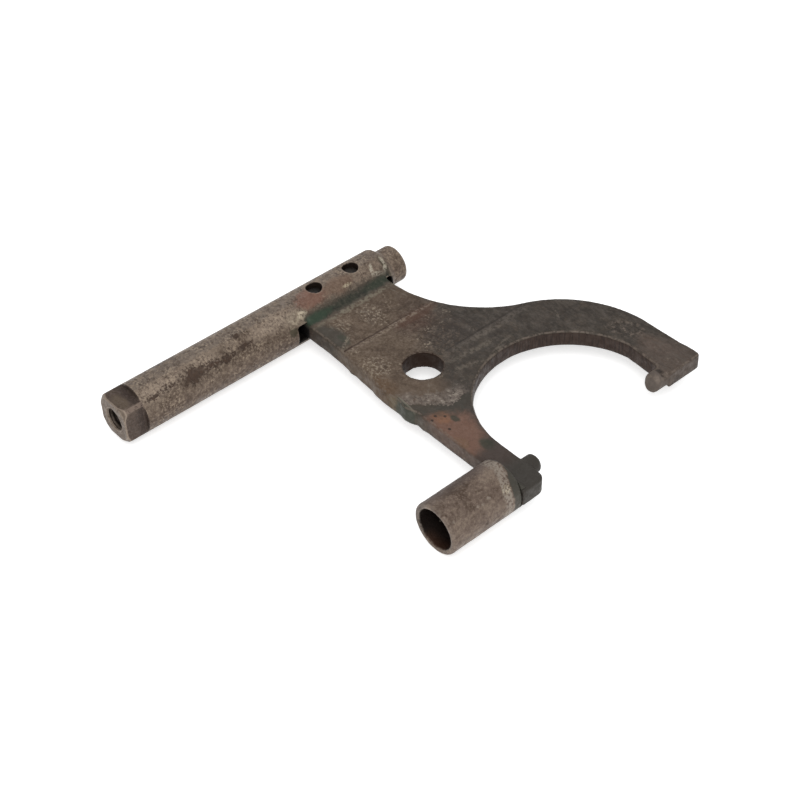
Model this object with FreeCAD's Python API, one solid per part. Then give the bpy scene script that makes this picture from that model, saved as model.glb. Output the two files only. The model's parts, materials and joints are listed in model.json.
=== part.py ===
import FreeCAD, Part
import math
import os

# Pivoting shift fork: a slotted round rail, a profiled fork plate seated in the slot, two cross
# pins and brazed seams, and a guide sleeve brazed to the edge of the lower tine.
# Millimetres. Origin: centre of the squared end's face, on the rail's axis. +Y runs along the
# rail to its stub, +X from the rail to the jaw, and +Z is square to the fork plate.

V = FreeCAD.Vector

# Along the rail, from the squared end to the stub
rail_diameter = 25.0
square_across = 19.5             # across the flats of the squared end
square_length = 10.8
end_chamfer_depth = 1.8          # radial depth of the turned chamfer on the squared end
end_chamfer_length = 1.6
journal_length = 87.4            # plain round rail from the square to the slot
rail_cone_length = 3.6           # cone from the full diameter down to the stub
stub_diameter = 19.0
stub_length = 8.6
stub_chamfer = 0.8

# Tapped hole in the squared end
thread_core_diameter = 10.2      # core of the M12 thread
thread_depth = 26.0
thread_drill_angle = 118.0       # point of the drill at the thread's bottom
thread_countersink = 1.1

# Slot in the rail and the plate's tongue in it
neck_width = 51.3                # the plate's width where it leaves the rail
slot_near_gap = 5.0              # the slot starts this far before the plate
slot_far_gap = 2.5               # and ends this far after it
slot_end_wall = 0.4              # steel left between the slot and the cone
slot_floor_x = -6.5
slot_side_gap = 0.0              # the seam is brazed, so the tongue fills the slot
tongue_end_gap = 0.2

# Cross pins through rail and tongue
pin_diameter = 8.0
pin_margin = 14.6                # from the tongue's near edge to the first pin
pin_spacing = 22.8
pin_recess = 3.0                 # each pin end lies this far under the rail's crest
pin_chamfer = 0.5

# Jaw
jaw_x = 133.9                    # from the rail's axis to the jaw's centre
jaw_rise = 4.5                   # the jaw's centre lies this far beyond the neck
jaw_radius = 45.1
jaw_upper_angle = 99.0           # where the jaw's circle leaves for the upper tine's inner edge

# Outline of the fork plate
plate_thickness = 9.1
plate_edge_radius = 1.3
neck_straight_x = 15.3           # the far edge is straight up to here, then hollow
shoulder_back = 12.9             # centre of the outer round shoulder, from the jaw's centre
shoulder_rise = 8.3
shoulder_radius = 55.2
near_taper_start_x = 28.0        # the near edge tapers from here to the dip under the hole
near_dip_drop = 0.7              # the dip lies this far outside the sleeve's seat
lump_back = 39.9                 # drip left by the cutting flame, from the jaw's centre
lump_length = 10.5
lump_depth = 1.0
lump_rise = 0.5                  # the drip ends this far inside the sleeve's seat
seat_margin = 1.4                # the sleeve's flat seat starts this far beside the sleeve

# Tines
upper_tine_drop = 1.9            # the upper tine's inner edge lies this far inside the jaw's circle
upper_tine_overhang = 4.7        # from the pads' axis to the tine's end
flare_back = 7.1                 # the upper tine's tip is a little wider from here
flare_length = 4.0
flare_width = 0.6
lower_tine_overhang = 12.8
lower_tine_width = 13.9          # between the jaw and the sleeve's seat
tine_corner_radius = 1.8
lower_corner_radius = 4.3

# Round pads at the tine tips
pad_offset = 15.2                # from the jaw's centre to the pads' axis
pad_diameter = 9.0
upper_pad_length = 9.8
lower_pad_length = 6.3
upper_pad_chamfer = 1.5
lower_pad_chamfer = 1.1
upper_pad_slant = 19.0           # degrees; the worn tip is shorter on its upper side

# Round hole in the plate
hole_back = 61.6                 # from the jaw's centre
hole_drop = 35.5
plate_hole_diameter = 19.0

# Guide sleeve on the lower tine
sleeve_offset = 0.1              # from the pads' axis to the sleeve's
sleeve_diameter = 25.0
sleeve_bore = 19.6
sleeve_length = 39.6
sleeve_edge_radius = 1.2
sleeve_bore_chamfer = 0.5

# Brazed seams
rail_braze_angle = 39.5          # where the seam's fillet reaches on the rail, above the plate
rail_braze_foot = 2.75           # how far it reaches on the plate from the rail's surface
rail_braze_hollow = 0.9          # how far the fillet's face is hollowed
rail_braze_end_gap = 1.8         # distance kept from the plate's rounded ends
sleeve_braze_leg = 3.6
sleeve_braze_hollow = 0.7

overcut = 1.0                    # how far a cutter runs past the face that it cuts

# Worked out: radii and half sizes
rail_radius = rail_diameter / 2
stub_radius = stub_diameter / 2
sleeve_radius = sleeve_diameter / 2
pad_radius = pad_diameter / 2
half_plate = plate_thickness / 2
slot_height = plate_thickness + 2 * slot_side_gap
pin_length = rail_diameter - 2 * pin_recess

# Worked out: places along the rail
slot_near_y = square_length + journal_length
neck_near_y = slot_near_y + slot_near_gap
neck_far_y = neck_near_y + neck_width
slot_far_y = neck_far_y + slot_far_gap
rail_shoulder_y = slot_far_y + slot_end_wall
cone_end_y = rail_shoulder_y + rail_cone_length
rail_length = cone_end_y + stub_length
tongue_end_x = slot_floor_x + tongue_end_gap

# Worked out: places round the jaw
jaw_y = neck_far_y + jaw_rise
jaw_bottom_y = jaw_y - jaw_radius
shoulder_x = jaw_x - shoulder_back
shoulder_y = jaw_y + shoulder_rise
pad_x = jaw_x + pad_offset
upper_tine_inner_y = jaw_y + jaw_radius - upper_tine_drop
upper_tine_end_x = pad_x + upper_tine_overhang
flare_start_x = pad_x - flare_back
lower_tine_end_x = pad_x + lower_tine_overhang
plate_hole_x = jaw_x - hole_back
plate_hole_y = jaw_y - hole_drop
sleeve_x = pad_x + sleeve_offset
sleeve_seat_y = jaw_bottom_y - lower_tine_width
near_dip_y = sleeve_seat_y - near_dip_drop
lump_end_x = jaw_x - lump_back
lump_end_y = sleeve_seat_y + lump_rise


def box(x0, x1, y0, y1, z0, z1):
    return Part.makeBox(x1 - x0, y1 - y0, z1 - z0, V(x0, y0, z0))


def turned(profile, axis_x=0.0):
    """A solid turned about a line along Y; the profile is a list of (radius, y)."""
    points = [V(axis_x + radius, y, 0) for radius, y in profile]
    face = Part.Face(Part.makePolygon(points + points[:1]))
    return face.revolve(V(axis_x, 0, 0), V(0, 1, 0), 360)


def line(start, end):
    return Part.LineSegment(start, end).toShape()


def arc(start, middle, end):
    return Part.Arc(start, middle, end).toShape()


def on_circle(centre_x, centre_y, radius, degrees):
    angle = math.radians(degrees)
    return V(centre_x + radius * math.cos(angle), centre_y + radius * math.sin(angle), 0)


def angle_of(centre_x, centre_y, point):
    return math.degrees(math.atan2(point.y - centre_y, point.x - centre_x))


def pin_places():
    first = neck_near_y + pin_margin
    return [first, first + pin_spacing]


def squared_end_cutters():
    """Four blocks that mill the flats of the squared end."""
    half, reach = square_across / 2, rail_diameter
    cutter = box(half, reach, -overcut, square_length, -reach, reach)
    axis = V(0, 1, 0)
    cutters = []
    for quarter in range(4):
        block = cutter.copy()
        block.rotate(V(0, 0, 0), axis, 90 * quarter)
        cutters.append(block)
    return cutters


def thread_hole():
    """The tapped hole's core with its countersink and drilled point."""
    core = thread_core_diameter / 2
    point = core / math.tan(math.radians(thread_drill_angle / 2))
    mouth = core + thread_countersink
    return turned([(0, -overcut), (mouth, -overcut), (mouth, 0), (core, thread_countersink),
                   (core, thread_depth), (0, thread_depth + point)])


def cross_hole(y):
    half = rail_radius + overcut
    return Part.makeCylinder(pin_diameter / 2, 2 * half, V(0, y, -half))


def shift_rail():
    end_radius = rail_radius - end_chamfer_depth
    bar = turned([(0, 0), (end_radius, 0), (rail_radius, end_chamfer_length),
                  (rail_radius, rail_shoulder_y), (stub_radius, cone_end_y),
                  (stub_radius, rail_length - stub_chamfer),
                  (stub_radius - stub_chamfer, rail_length), (0, rail_length)])
    slot = box(slot_floor_x, rail_radius + overcut, slot_near_y, slot_far_y,
               -slot_height / 2, slot_height / 2)
    cuts = squared_end_cutters() + [thread_hole(), slot]
    cuts += [cross_hole(y) for y in pin_places()]
    return bar.cut(cuts)


def cross_pin(y):
    radius, tip = pin_diameter / 2, pin_diameter / 2 - pin_chamfer
    half = pin_length / 2
    profile = [V(0, y, -half), V(tip, y, -half), V(radius, y, -half + pin_chamfer),
               V(radius, y, half - pin_chamfer), V(tip, y, half), V(0, y, half)]
    face = Part.Face(Part.makePolygon(profile + profile[:1]))
    return face.revolve(V(0, y, 0), V(0, 0, 1), 360)


def far_edge():
    """Neck, hollow curve and round shoulder, from the tongue to the upper tine's end.

    The hollow curve is tangent to the neck and to the shoulder, which gives its radius.
    """
    run = shoulder_x - neck_straight_x
    rise = neck_far_y - shoulder_y
    hollow = (run ** 2 + rise ** 2 - shoulder_radius ** 2) / (2 * (shoulder_radius - rise))
    hollow_x, hollow_y = neck_straight_x, neck_far_y + hollow
    meeting = angle_of(hollow_x, hollow_y, V(shoulder_x, shoulder_y, 0))
    hollow_start = V(hollow_x, neck_far_y, 0)
    hollow_end = on_circle(hollow_x, hollow_y, hollow, meeting)
    shoulder_start = meeting + 180
    shoulder_top = on_circle(shoulder_x, shoulder_y, shoulder_radius, 90)
    flare_start = V(flare_start_x, shoulder_top.y, 0)
    flare_end = flare_start + V(flare_length, flare_width, 0)
    corner = V(upper_tine_end_x, flare_end.y, 0)
    corner_in = corner - V(tine_corner_radius, 0, 0)
    corner_out = corner - V(0, tine_corner_radius, 0)
    corner_middle = on_circle(corner_in.x, corner_out.y, tine_corner_radius, 45)
    return [line(V(tongue_end_x, neck_far_y, 0), hollow_start),
            arc(hollow_start, on_circle(hollow_x, hollow_y, hollow, (meeting - 90) / 2), hollow_end),
            arc(hollow_end,
                on_circle(shoulder_x, shoulder_y, shoulder_radius, (shoulder_start + 90) / 2),
                shoulder_top),
            line(shoulder_top, flare_start),
            line(flare_start, flare_end),
            line(flare_end, corner_in),
            arc(corner_in, corner_middle, corner_out),
            line(corner_out, V(upper_tine_end_x, upper_tine_inner_y, 0))]


def jaw_edge():
    """Upper tine's inner edge, the round jaw and the lower tine's inner edge and corner."""
    jaw_top = on_circle(jaw_x, jaw_y, jaw_radius, jaw_upper_angle)
    jaw_bottom = V(jaw_x, jaw_bottom_y, 0)
    corner_in = V(lower_tine_end_x - lower_corner_radius, jaw_bottom_y, 0)
    corner_out = V(lower_tine_end_x, jaw_bottom_y - lower_corner_radius, 0)
    corner_middle = on_circle(corner_in.x, corner_out.y, lower_corner_radius, 45)
    back = on_circle(jaw_x, jaw_y, jaw_radius, (jaw_upper_angle + 270) / 2)
    pad_start = V(pad_x - pad_radius, upper_tine_inner_y, 0)
    return [line(V(upper_tine_end_x, upper_tine_inner_y, 0), pad_start),
            line(pad_start, jaw_top),
            arc(jaw_top, back, jaw_bottom),
            line(jaw_bottom, corner_in),
            arc(corner_in, corner_middle, corner_out),
            line(corner_out, V(lower_tine_end_x, sleeve_seat_y, 0))]


def near_edge():
    """Flat seat for the sleeve, then the rough tapered edge back to the tongue."""
    seat_x = sleeve_x - sleeve_radius - seat_margin
    lump_end = V(lump_end_x, lump_end_y, 0)
    lump_start = V(lump_end_x - lump_length, near_dip_y, 0)
    lump_middle = (lump_end + lump_start) * 0.5 - V(0, lump_depth, 0)
    dip = V(plate_hole_x, near_dip_y, 0)
    taper_start = V(near_taper_start_x, neck_near_y, 0)
    return [line(V(lower_tine_end_x, sleeve_seat_y, 0), V(seat_x, sleeve_seat_y, 0)),
            line(V(seat_x, sleeve_seat_y, 0), lump_end),
            arc(lump_end, lump_middle, lump_start),
            line(lump_start, dip),
            line(dip, taper_start),
            line(taper_start, V(tongue_end_x, neck_near_y, 0)),
            line(V(tongue_end_x, neck_near_y, 0), V(tongue_end_x, neck_far_y, 0))]


def pad(root_y, length, chamfer, slant=0.0):
    """A round pad from inside the tine to a chamfered tip; a slant leans the tip's face back."""
    way = math.copysign(1, length)
    bar = Part.makeCylinder(pad_radius, abs(length) + pad_diameter,
                            V(pad_x, root_y - way * pad_diameter, 0), V(0, way, 0))
    reach = 2 * pad_diameter
    worn = Part.makeBox(2 * reach, reach, 2 * reach, V(-reach, 0, -reach))
    if way < 0:
        worn.translate(V(0, -reach, 0))
    worn.rotate(V(0, 0, 0), V(1, 0, 0), way * slant)
    tip_middle = root_y + length - way * pad_radius * math.tan(math.radians(slant))
    worn.translate(V(pad_x, tip_middle, 0))
    bar = bar.cut(worn)
    tip_edges = [edge for edge in bar.Edges if edge.isClosed()
                 and abs(edge.CenterOfMass.y - tip_middle) < 1e-3]
    return bar.makeChamfer(chamfer, tip_edges)


def fork_plate():
    outline = Part.Wire(Part.__sortEdges__(far_edge() + jaw_edge() + near_edge()))
    blank = Part.Face(outline).extrude(V(0, 0, plate_thickness))
    blank.translate(V(0, 0, -half_plate))
    rims = [edge for edge in blank.Edges if abs(abs(edge.CenterOfMass.z) - half_plate) < 1e-6]
    blank = blank.makeFillet(plate_edge_radius, rims)
    lower_tip = pad(jaw_bottom_y, lower_pad_length, lower_pad_chamfer)
    upper_tip = pad(upper_tine_inner_y, -upper_pad_length, upper_pad_chamfer, upper_pad_slant)
    hole = Part.makeCylinder(plate_hole_diameter / 2, plate_thickness + 2 * overcut,
                             V(plate_hole_x, plate_hole_y, -half_plate - overcut))
    cuts = [hole] + [cross_hole(y) for y in pin_places()]
    return blank.fuse([lower_tip, upper_tip]).cut(cuts).removeSplitter()


def guide_sleeve():
    outer, bore = sleeve_radius, sleeve_bore / 2
    near = sleeve_seat_y - sleeve_length
    tube = turned([(bore + sleeve_bore_chamfer, near), (outer, near), (outer, sleeve_seat_y),
                   (bore, sleeve_seat_y), (bore, near + sleeve_bore_chamfer)], sleeve_x)
    rims = [edge for edge in tube.Edges
            if edge.Curve.TypeId == "Part::GeomCircle" and abs(edge.Curve.Radius - outer) < 1e-6]
    return tube.makeFillet(sleeve_edge_radius, rims)


def hollow_point(start, end, depth, side):
    """Middle of a line, moved square to it by depth."""
    middle = (start + end) * 0.5
    along = (end - start).normalize()
    return middle + V(along.z, 0, -along.x) * (depth * side)


def rail_braze(side):
    """Concave seam between the rail and one face of the plate; side is 1 above, -1 below."""
    slot_edge_x = math.sqrt(rail_radius ** 2 - (slot_height / 2) ** 2)
    slot_angle = math.degrees(math.asin(slot_height / 2 / rail_radius))
    high = math.radians(rail_braze_angle)
    middle = math.radians((rail_braze_angle + slot_angle) / 2)
    top = V(rail_radius * math.cos(high), 0, rail_radius * math.sin(high))
    between = V(rail_radius * math.cos(middle), 0, rail_radius * math.sin(middle))
    root = V(slot_edge_x, 0, half_plate)
    toe = V(slot_edge_x + rail_braze_foot, 0, half_plate)
    face_middle = hollow_point(top, toe, rail_braze_hollow, -1)
    section = Part.Wire([arc(top, between, root), line(root, toe), arc(toe, face_middle, top)])
    length = neck_far_y - neck_near_y - 2 * rail_braze_end_gap
    seam = Part.Face(section).extrude(V(0, length, 0))
    seam.translate(V(0, neck_near_y + rail_braze_end_gap, 0))
    if side < 0:
        seam = seam.mirror(V(0, 0, 0), V(0, 0, 1))
    return seam


def sleeve_braze(side):
    """Seam on one face of the tine against the sleeve's end; side is 1 above, -1 below."""
    root = V(sleeve_x, sleeve_seat_y, half_plate)
    toe = root + V(0, sleeve_braze_leg, 0)
    top = root + V(0, 0, sleeve_braze_leg)
    middle = (toe + top) * 0.5 - V(0, sleeve_braze_hollow, sleeve_braze_hollow) / math.sqrt(2)
    section = Part.Wire([line(root, toe), arc(toe, middle, top), line(top, root)])
    wedge = Part.Face(section).extrude(V(sleeve_diameter, 0, 0))
    wedge.translate(V(-sleeve_radius, 0, 0))
    round_bar = Part.makeCylinder(sleeve_radius, sleeve_length,
                                  V(sleeve_x, sleeve_seat_y, 0), V(0, 1, 0))
    seam = wedge.common(round_bar)
    if side < 0:
        seam = seam.mirror(V(0, 0, 0), V(0, 0, 1))
    return seam


def one_solid(shape, name):
    """The shape as a single valid solid."""
    solids = shape.Solids
    if len(solids) != 1 or not solids[0].isValid():
        raise ValueError(name + " isn't one valid solid")
    return solids[0]


first_pin_y, second_pin_y = pin_places()
pieces = {
    "shift_rail": shift_rail(),
    "fork_plate": fork_plate(),
    "guide_sleeve": guide_sleeve(),
    "near_cross_pin": cross_pin(first_pin_y),
    "far_cross_pin": cross_pin(second_pin_y),
    "rail_braze_upper": rail_braze(1),
    "rail_braze_lower": rail_braze(-1),
    "sleeve_braze_upper": sleeve_braze(1),
    "sleeve_braze_lower": sleeve_braze(-1),
}

os.makedirs("parts", exist_ok=True)
for name, shape in pieces.items():
    solid = one_solid(shape, name)
    solid.exportStep("parts/" + name + ".step")
    size = solid.BoundBox
    print(f"{name}: {solid.Volume:.0f} mm3, {size.XLength:.1f} x {size.YLength:.1f} x {size.ZLength:.1f} mm")
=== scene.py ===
# %% [markdown]
# # A used shift fork, dressed from its CAD solids
# The part is a gearbox shift fork that swings on a round rail. It was cut, turned, pinned and
# brazed together, and then it worked for years in oil. The CAD solids give its true size. In this
# lesson each solid gets even little faces, small dents and ripples, and a finish made from noise.

# %% Load the CAD pieces
import json
import math

import bmesh
import bpy
import numpy as np
from mathutils import Matrix, Vector


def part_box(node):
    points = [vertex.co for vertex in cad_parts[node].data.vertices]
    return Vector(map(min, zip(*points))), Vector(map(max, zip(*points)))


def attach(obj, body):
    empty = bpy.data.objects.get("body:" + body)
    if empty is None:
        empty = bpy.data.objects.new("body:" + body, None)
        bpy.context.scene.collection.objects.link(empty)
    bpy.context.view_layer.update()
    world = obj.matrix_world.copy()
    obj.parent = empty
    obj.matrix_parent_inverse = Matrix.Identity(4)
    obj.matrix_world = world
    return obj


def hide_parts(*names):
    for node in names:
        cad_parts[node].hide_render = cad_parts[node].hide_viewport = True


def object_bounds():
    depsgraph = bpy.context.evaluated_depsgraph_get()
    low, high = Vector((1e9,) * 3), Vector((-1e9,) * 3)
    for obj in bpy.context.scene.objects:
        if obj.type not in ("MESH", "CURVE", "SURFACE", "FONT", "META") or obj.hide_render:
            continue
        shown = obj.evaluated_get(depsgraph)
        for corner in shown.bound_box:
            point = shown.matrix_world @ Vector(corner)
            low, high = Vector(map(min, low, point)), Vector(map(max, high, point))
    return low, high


MM = 0.001

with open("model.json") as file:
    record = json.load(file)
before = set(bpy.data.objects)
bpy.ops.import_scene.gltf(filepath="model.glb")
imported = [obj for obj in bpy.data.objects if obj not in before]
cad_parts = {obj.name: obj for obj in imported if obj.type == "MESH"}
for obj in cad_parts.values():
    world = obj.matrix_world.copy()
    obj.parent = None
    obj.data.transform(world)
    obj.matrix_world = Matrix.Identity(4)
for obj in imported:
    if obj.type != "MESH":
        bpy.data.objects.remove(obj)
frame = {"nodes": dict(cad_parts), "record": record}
cad_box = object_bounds()
mounts = {mount["name"]: mount for mount in frame["record"]["mounts"]}


def box_of(node):
    """A CAD piece's lowest and highest corner, in millimetres."""
    return [np.array(corner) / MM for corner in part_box(node)]


def place_of(mount):
    """The point that a mount's axis starts from, in millimetres."""
    return [value / MM for value in mounts[mount]["pos_m"]]


print("pieces:", ", ".join(sorted(frame["nodes"])))
print("mounts:", ", ".join(mounts))

# %% [markdown]
# ## Even little faces
# A CAD mesh has long thin triangles, so it can't carry small dents. Cutting every face into four
# again and again would keep them thin. A voxel remesh wraps the same form in even squares, and its
# rounding of about half a square also suits edges worn by handling. The CAD mesh has several points
# at each sharp corner, so those that share a place are merged first.

# %% A finer copy of a CAD piece
same_place = 0.001


def settle(piece):
    """Turns a piece's modifiers into plain mesh."""
    graph = bpy.context.evaluated_depsgraph_get()
    result = bpy.data.meshes.new_from_object(piece.evaluated_get(graph))
    piece.modifiers.clear()
    piece.data = result
    return piece


def stand_for(piece, node):
    """The piece rides on the part and is shown in place of a CAD node."""
    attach(piece, "root")
    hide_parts(node)


def finer_copy(node, name, voxel):
    """A copy of a CAD piece in even faces, voxel mm wide, that is shown in its place."""
    mesh = frame["nodes"][node].data.copy()
    shape = bmesh.new()
    shape.from_mesh(mesh)
    bmesh.ops.remove_doubles(shape, verts=shape.verts, dist=same_place * MM)
    shape.to_mesh(mesh)
    shape.free()
    piece = bpy.data.objects.new(name, mesh)
    bpy.context.collection.objects.link(piece)
    remesh = piece.modifiers.new("Even faces", "REMESH")
    remesh.mode = "VOXEL"
    remesh.voxel_size = voxel * MM
    remesh.use_smooth_shade = True
    settle(piece)
    stand_for(piece, node)
    print(f"{name}: {len(piece.data.polygons)} faces of {voxel} mm")
    return piece


# %% Make the copies
rail = finer_copy("shift_rail", "slotted_rail", 0.5)
plate = finer_copy("fork_plate", "profiled_plate", 0.55)
sleeve = finer_copy("guide_sleeve", "tube_sleeve", 0.45)
pins = [finer_copy("near_cross_pin", "near_pin", 0.4),
        finer_copy("far_cross_pin", "far_pin", 0.4)]
sleeve_seams = [finer_copy("sleeve_braze_upper", "upper_sleeve_seam", 0.3),
                finer_copy("sleeve_braze_lower", "lower_sleeve_seam", 0.3)]

# %% [markdown]
# ## The brazed seams along the rail
# Molten braze is drawn into the corner between rail and plate and sets as a hollow fillet that runs
# out to nothing on both. A round hollow that is tangent to the rail and to the plate gives this form.
# It is built here as rows of points, because its width changes along the seam and its ends are
# rounded off, and its two thin edges run on just under the steel so that no step shows.

# %% Sizes that the seams start from
seam_low, seam_high = box_of("rail_braze_upper")
run_past = 1.3
seam_start, seam_end = seam_low[1] - run_past, seam_high[1] + run_past
rail_radius = box_of("shift_rail")[1][0]
plate_top = box_of("fork_plate")[1][2]
print(f"seam from y {seam_start:.1f} to {seam_end:.1f} mm, rail radius {rail_radius:.1f} mm")

# %% The seam's section
hollow_near, hollow_far = 9.0, 7.4
arc_steps = 14
edge_run, edge_sunk = 1.2, 0.3


def seam_section(hollow):
    """One row of the seam: from under the rail's skin, round the hollow, to under the plate's."""
    centre_z = plate_top + hollow
    centre_x = math.sqrt((rail_radius + hollow) ** 2 - centre_z ** 2)
    at_rail = math.atan2(centre_z, centre_x)
    under_rail = at_rail + edge_run / rail_radius
    sunk = rail_radius - edge_sunk
    row = [(sunk * math.cos(under_rail), sunk * math.sin(under_rail))]
    first, last = math.pi + at_rail, 1.5 * math.pi
    for step in range(arc_steps + 1):
        angle = first + (last - first) * step / arc_steps
        row.append((centre_x + hollow * math.cos(angle), centre_z + hollow * math.sin(angle)))
    return row + [(centre_x + edge_run, plate_top - edge_sunk)]


print(f"a section has {len(seam_section(hollow_near))} points on its hollow side")

# %% Build one seam
row_gap = 0.5
end_length, end_share = 2.5, 0.1
root_sunk = 0.8


def corner_seam(name, node, side):
    """A brazed seam above the plate, or below it where side is -1."""
    root_x, root_z = math.sqrt(rail_radius ** 2 - plate_top ** 2), plate_top
    shape = bmesh.new()
    rows = []
    for y in np.arange(seam_start, seam_end, row_gap):
        along = (y - seam_start) / (seam_end - seam_start)
        lumps = 0.5 * math.sin(y / 3.1) + 0.3 * math.sin(y / 1.3 + side)
        hollow = hollow_near + (hollow_far - hollow_near) * along + lumps
        from_end = min(y - seam_start, seam_end - y) / end_length
        full = end_share + (1 - end_share) * math.sqrt(1 - (1 - min(from_end, 1)) ** 2)
        section = seam_section(hollow) + [(root_x - root_sunk, root_z - root_sunk)]
        rows.append([shape.verts.new(((root_x + (x - root_x) * full) * MM, y * MM,
                                      side * (root_z + (z - root_z) * full) * MM))
                     for x, z in section])
    count = len(rows[0])
    for row, following in zip(rows, rows[1:]):
        for spot in range(count):
            after = (spot + 1) % count
            shape.faces.new((row[spot], row[after], following[after], following[spot]))
    shape.faces.new(rows[0][::-1])
    shape.faces.new(rows[-1])
    bmesh.ops.recalc_face_normals(shape, faces=shape.faces)
    mesh = bpy.data.meshes.new(name)
    shape.to_mesh(mesh)
    shape.free()
    mesh.shade_smooth()
    piece = bpy.data.objects.new(name, mesh)
    bpy.context.collection.objects.link(piece)
    stand_for(piece, node)
    print(f"{name}: {len(rows)} rows")
    return piece


rail_seams = [corner_seam("upper_rail_seam", "rail_braze_upper", 1),
              corner_seam("lower_rail_seam", "rail_braze_lower", -1)]
seams = rail_seams + sleeve_seams

# %% [markdown]
# ## Dents and ripples
# No face of the real part is quite flat. Sculpting each dent would be slow, so a Displace modifier
# with a Clouds texture moves the surface in and out: by a few hundredths of a millimetre on the
# turned rail, and by up to about 0.2 mm on plate, tube and braze.

# %% Roughen a surface
def roughen(piece, depth, size):
    """Moves the surface by up to half of depth each way, in lumps about size mm wide."""
    clouds = bpy.data.textures.new(f"{piece.name} lumps {size}", "CLOUDS")
    clouds.noise_scale = size * MM
    clouds.noise_depth = 2
    lumps = piece.modifiers.new("Lumps", "DISPLACE")
    lumps.texture = clouds
    lumps.texture_coords = "LOCAL"
    lumps.strength = depth * MM
    lumps.mid_level = 0.5


ripples = [(rail, 0.08, 4.0), (rail, 0.05, 1.6), (plate, 0.30, 9.0), (plate, 0.12, 2.5),
           (sleeve, 0.16, 5.0), (sleeve, 0.10, 1.8)] + [(seam, 0.25, 3.0) for seam in seams]
for piece, depth, size in ripples:
    roughen(piece, depth, size)
for piece in [rail, plate, sleeve] + seams:
    settle(piece)
print(f"{len(ripples)} layers of lumps on {3 + len(seams)} pieces")

# %% [markdown]
# ## The thread in the squared end
# On the real fork the first turns of a thread show in the end face. The CAD hole is plain, at the
# thread's core size. The turns could be a coil cut from the solid, but the wall already has fine
# faces. So each of its points moves outward, by an amount that winds once around for every pitch.

# %% Cut the thread
def points_of(piece):
    """The piece's points, in millimetres."""
    spots = np.empty(len(piece.data.vertices) * 3)
    piece.data.vertices.foreach_get("co", spots)
    return spots.reshape(-1, 3) / MM


def move_points(piece, spots):
    """Puts the piece's points at new places, given in millimetres."""
    piece.data.vertices.foreach_set("co", (spots * MM).ravel())
    piece.data.update()


thread_core = mounts["end_thread"]["dims"]["r_mm"]
thread_depth = 0.85
thread_pitch = 1.75
thread_start, thread_end = 0.7, 24.0
wall_inside, wall_outside = 0.6, 0.5

spots = points_of(rail)
radius = np.hypot(spots[:, 0], spots[:, 2])
turn = np.arctan2(spots[:, 2], spots[:, 0]) / (2 * math.pi)
on_wall = (radius < thread_core + wall_outside) & (radius > thread_core - wall_inside)
on_wall &= (spots[:, 1] > thread_start) & (spots[:, 1] < thread_end)
phase = (spots[:, 1] / thread_pitch + turn) % 1.0
groove = thread_depth * (1 - np.abs(2 * phase - 1))
stretch = np.where(on_wall, (thread_core + groove) / np.maximum(radius, 0.1), 1.0)
spots[:, 0] *= stretch
spots[:, 2] *= stretch
move_points(rail, spots)
print("thread cut on", int(on_wall.sum()), "points")

# %% [markdown]
# ## The flame-cut near edge
# The plate's near edge was cut by torch, so it wanders by up to half a millimetre. The list says
# how far the edge stands out at a few places along x, and the points between are blended. Each
# point's own share fades out over 4 mm into the plate, so the top face isn't creased.

# %% Wave the near edge
edge_wave = [(30, 0), (38, -0.4), (43, -0.2), (46, 0.3), (49, -0.3), (62, -0.3), (66, 0.3),
             (74, 0.2), (82, 0), (88, 0.35), (94, 0.05), (98, 0.5), (101, 0)]
wave_fade = 4.0

spots = points_of(plate)
column = np.clip(np.round(spots[:, 0]).astype(int), 0, None)
edge_y = np.full(column.max() + 1, np.inf)
np.minimum.at(edge_y, column, spots[:, 1])
share = np.clip(1 - (spots[:, 1] - edge_y[column]) / wave_fade, 0, 1)
wave_x, wave_out = zip(*edge_wave)
outward = share * np.interp(spots[:, 0], wave_x, wave_out, left=0, right=0)
spots[:, 1] -= outward
move_points(plate, spots)
print("edge waved on", int((outward != 0).sum()), "points")

# %% [markdown]
# ## Finishes from noise
# A finish here is a base colour with patches laid over it, each with a ragged edge. Everything is
# placed in millimetres on the part itself, so a stain stays where it is from every side. A painted
# image could hold the same stains, but it would need unwrapping and go soft close up.

# %% A colour
def tint(red, green, blue):
    """A display colour, 0 to 255, as the linear colour that a shader takes."""
    parts = [value / 255 for value in (red, green, blue)]
    linear = [v / 12.92 if v <= 0.04045 else ((v + 0.055) / 1.055) ** 2.4 for v in parts]
    return (*linear, 1.0)


print("mid grey as a linear colour:", [round(value, 3) for value in tint(128, 128, 128)[:3]])

# %% [markdown]
# ## Nodes by short calls
# A shader tree can be drawn by hand in the editor, or made by calls like these. The second way
# suits a finish with hundreds of nodes, because one named line stands for each stain. The material
# knows where each point of the part is, in millimetres, and which way its surface faces.

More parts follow.
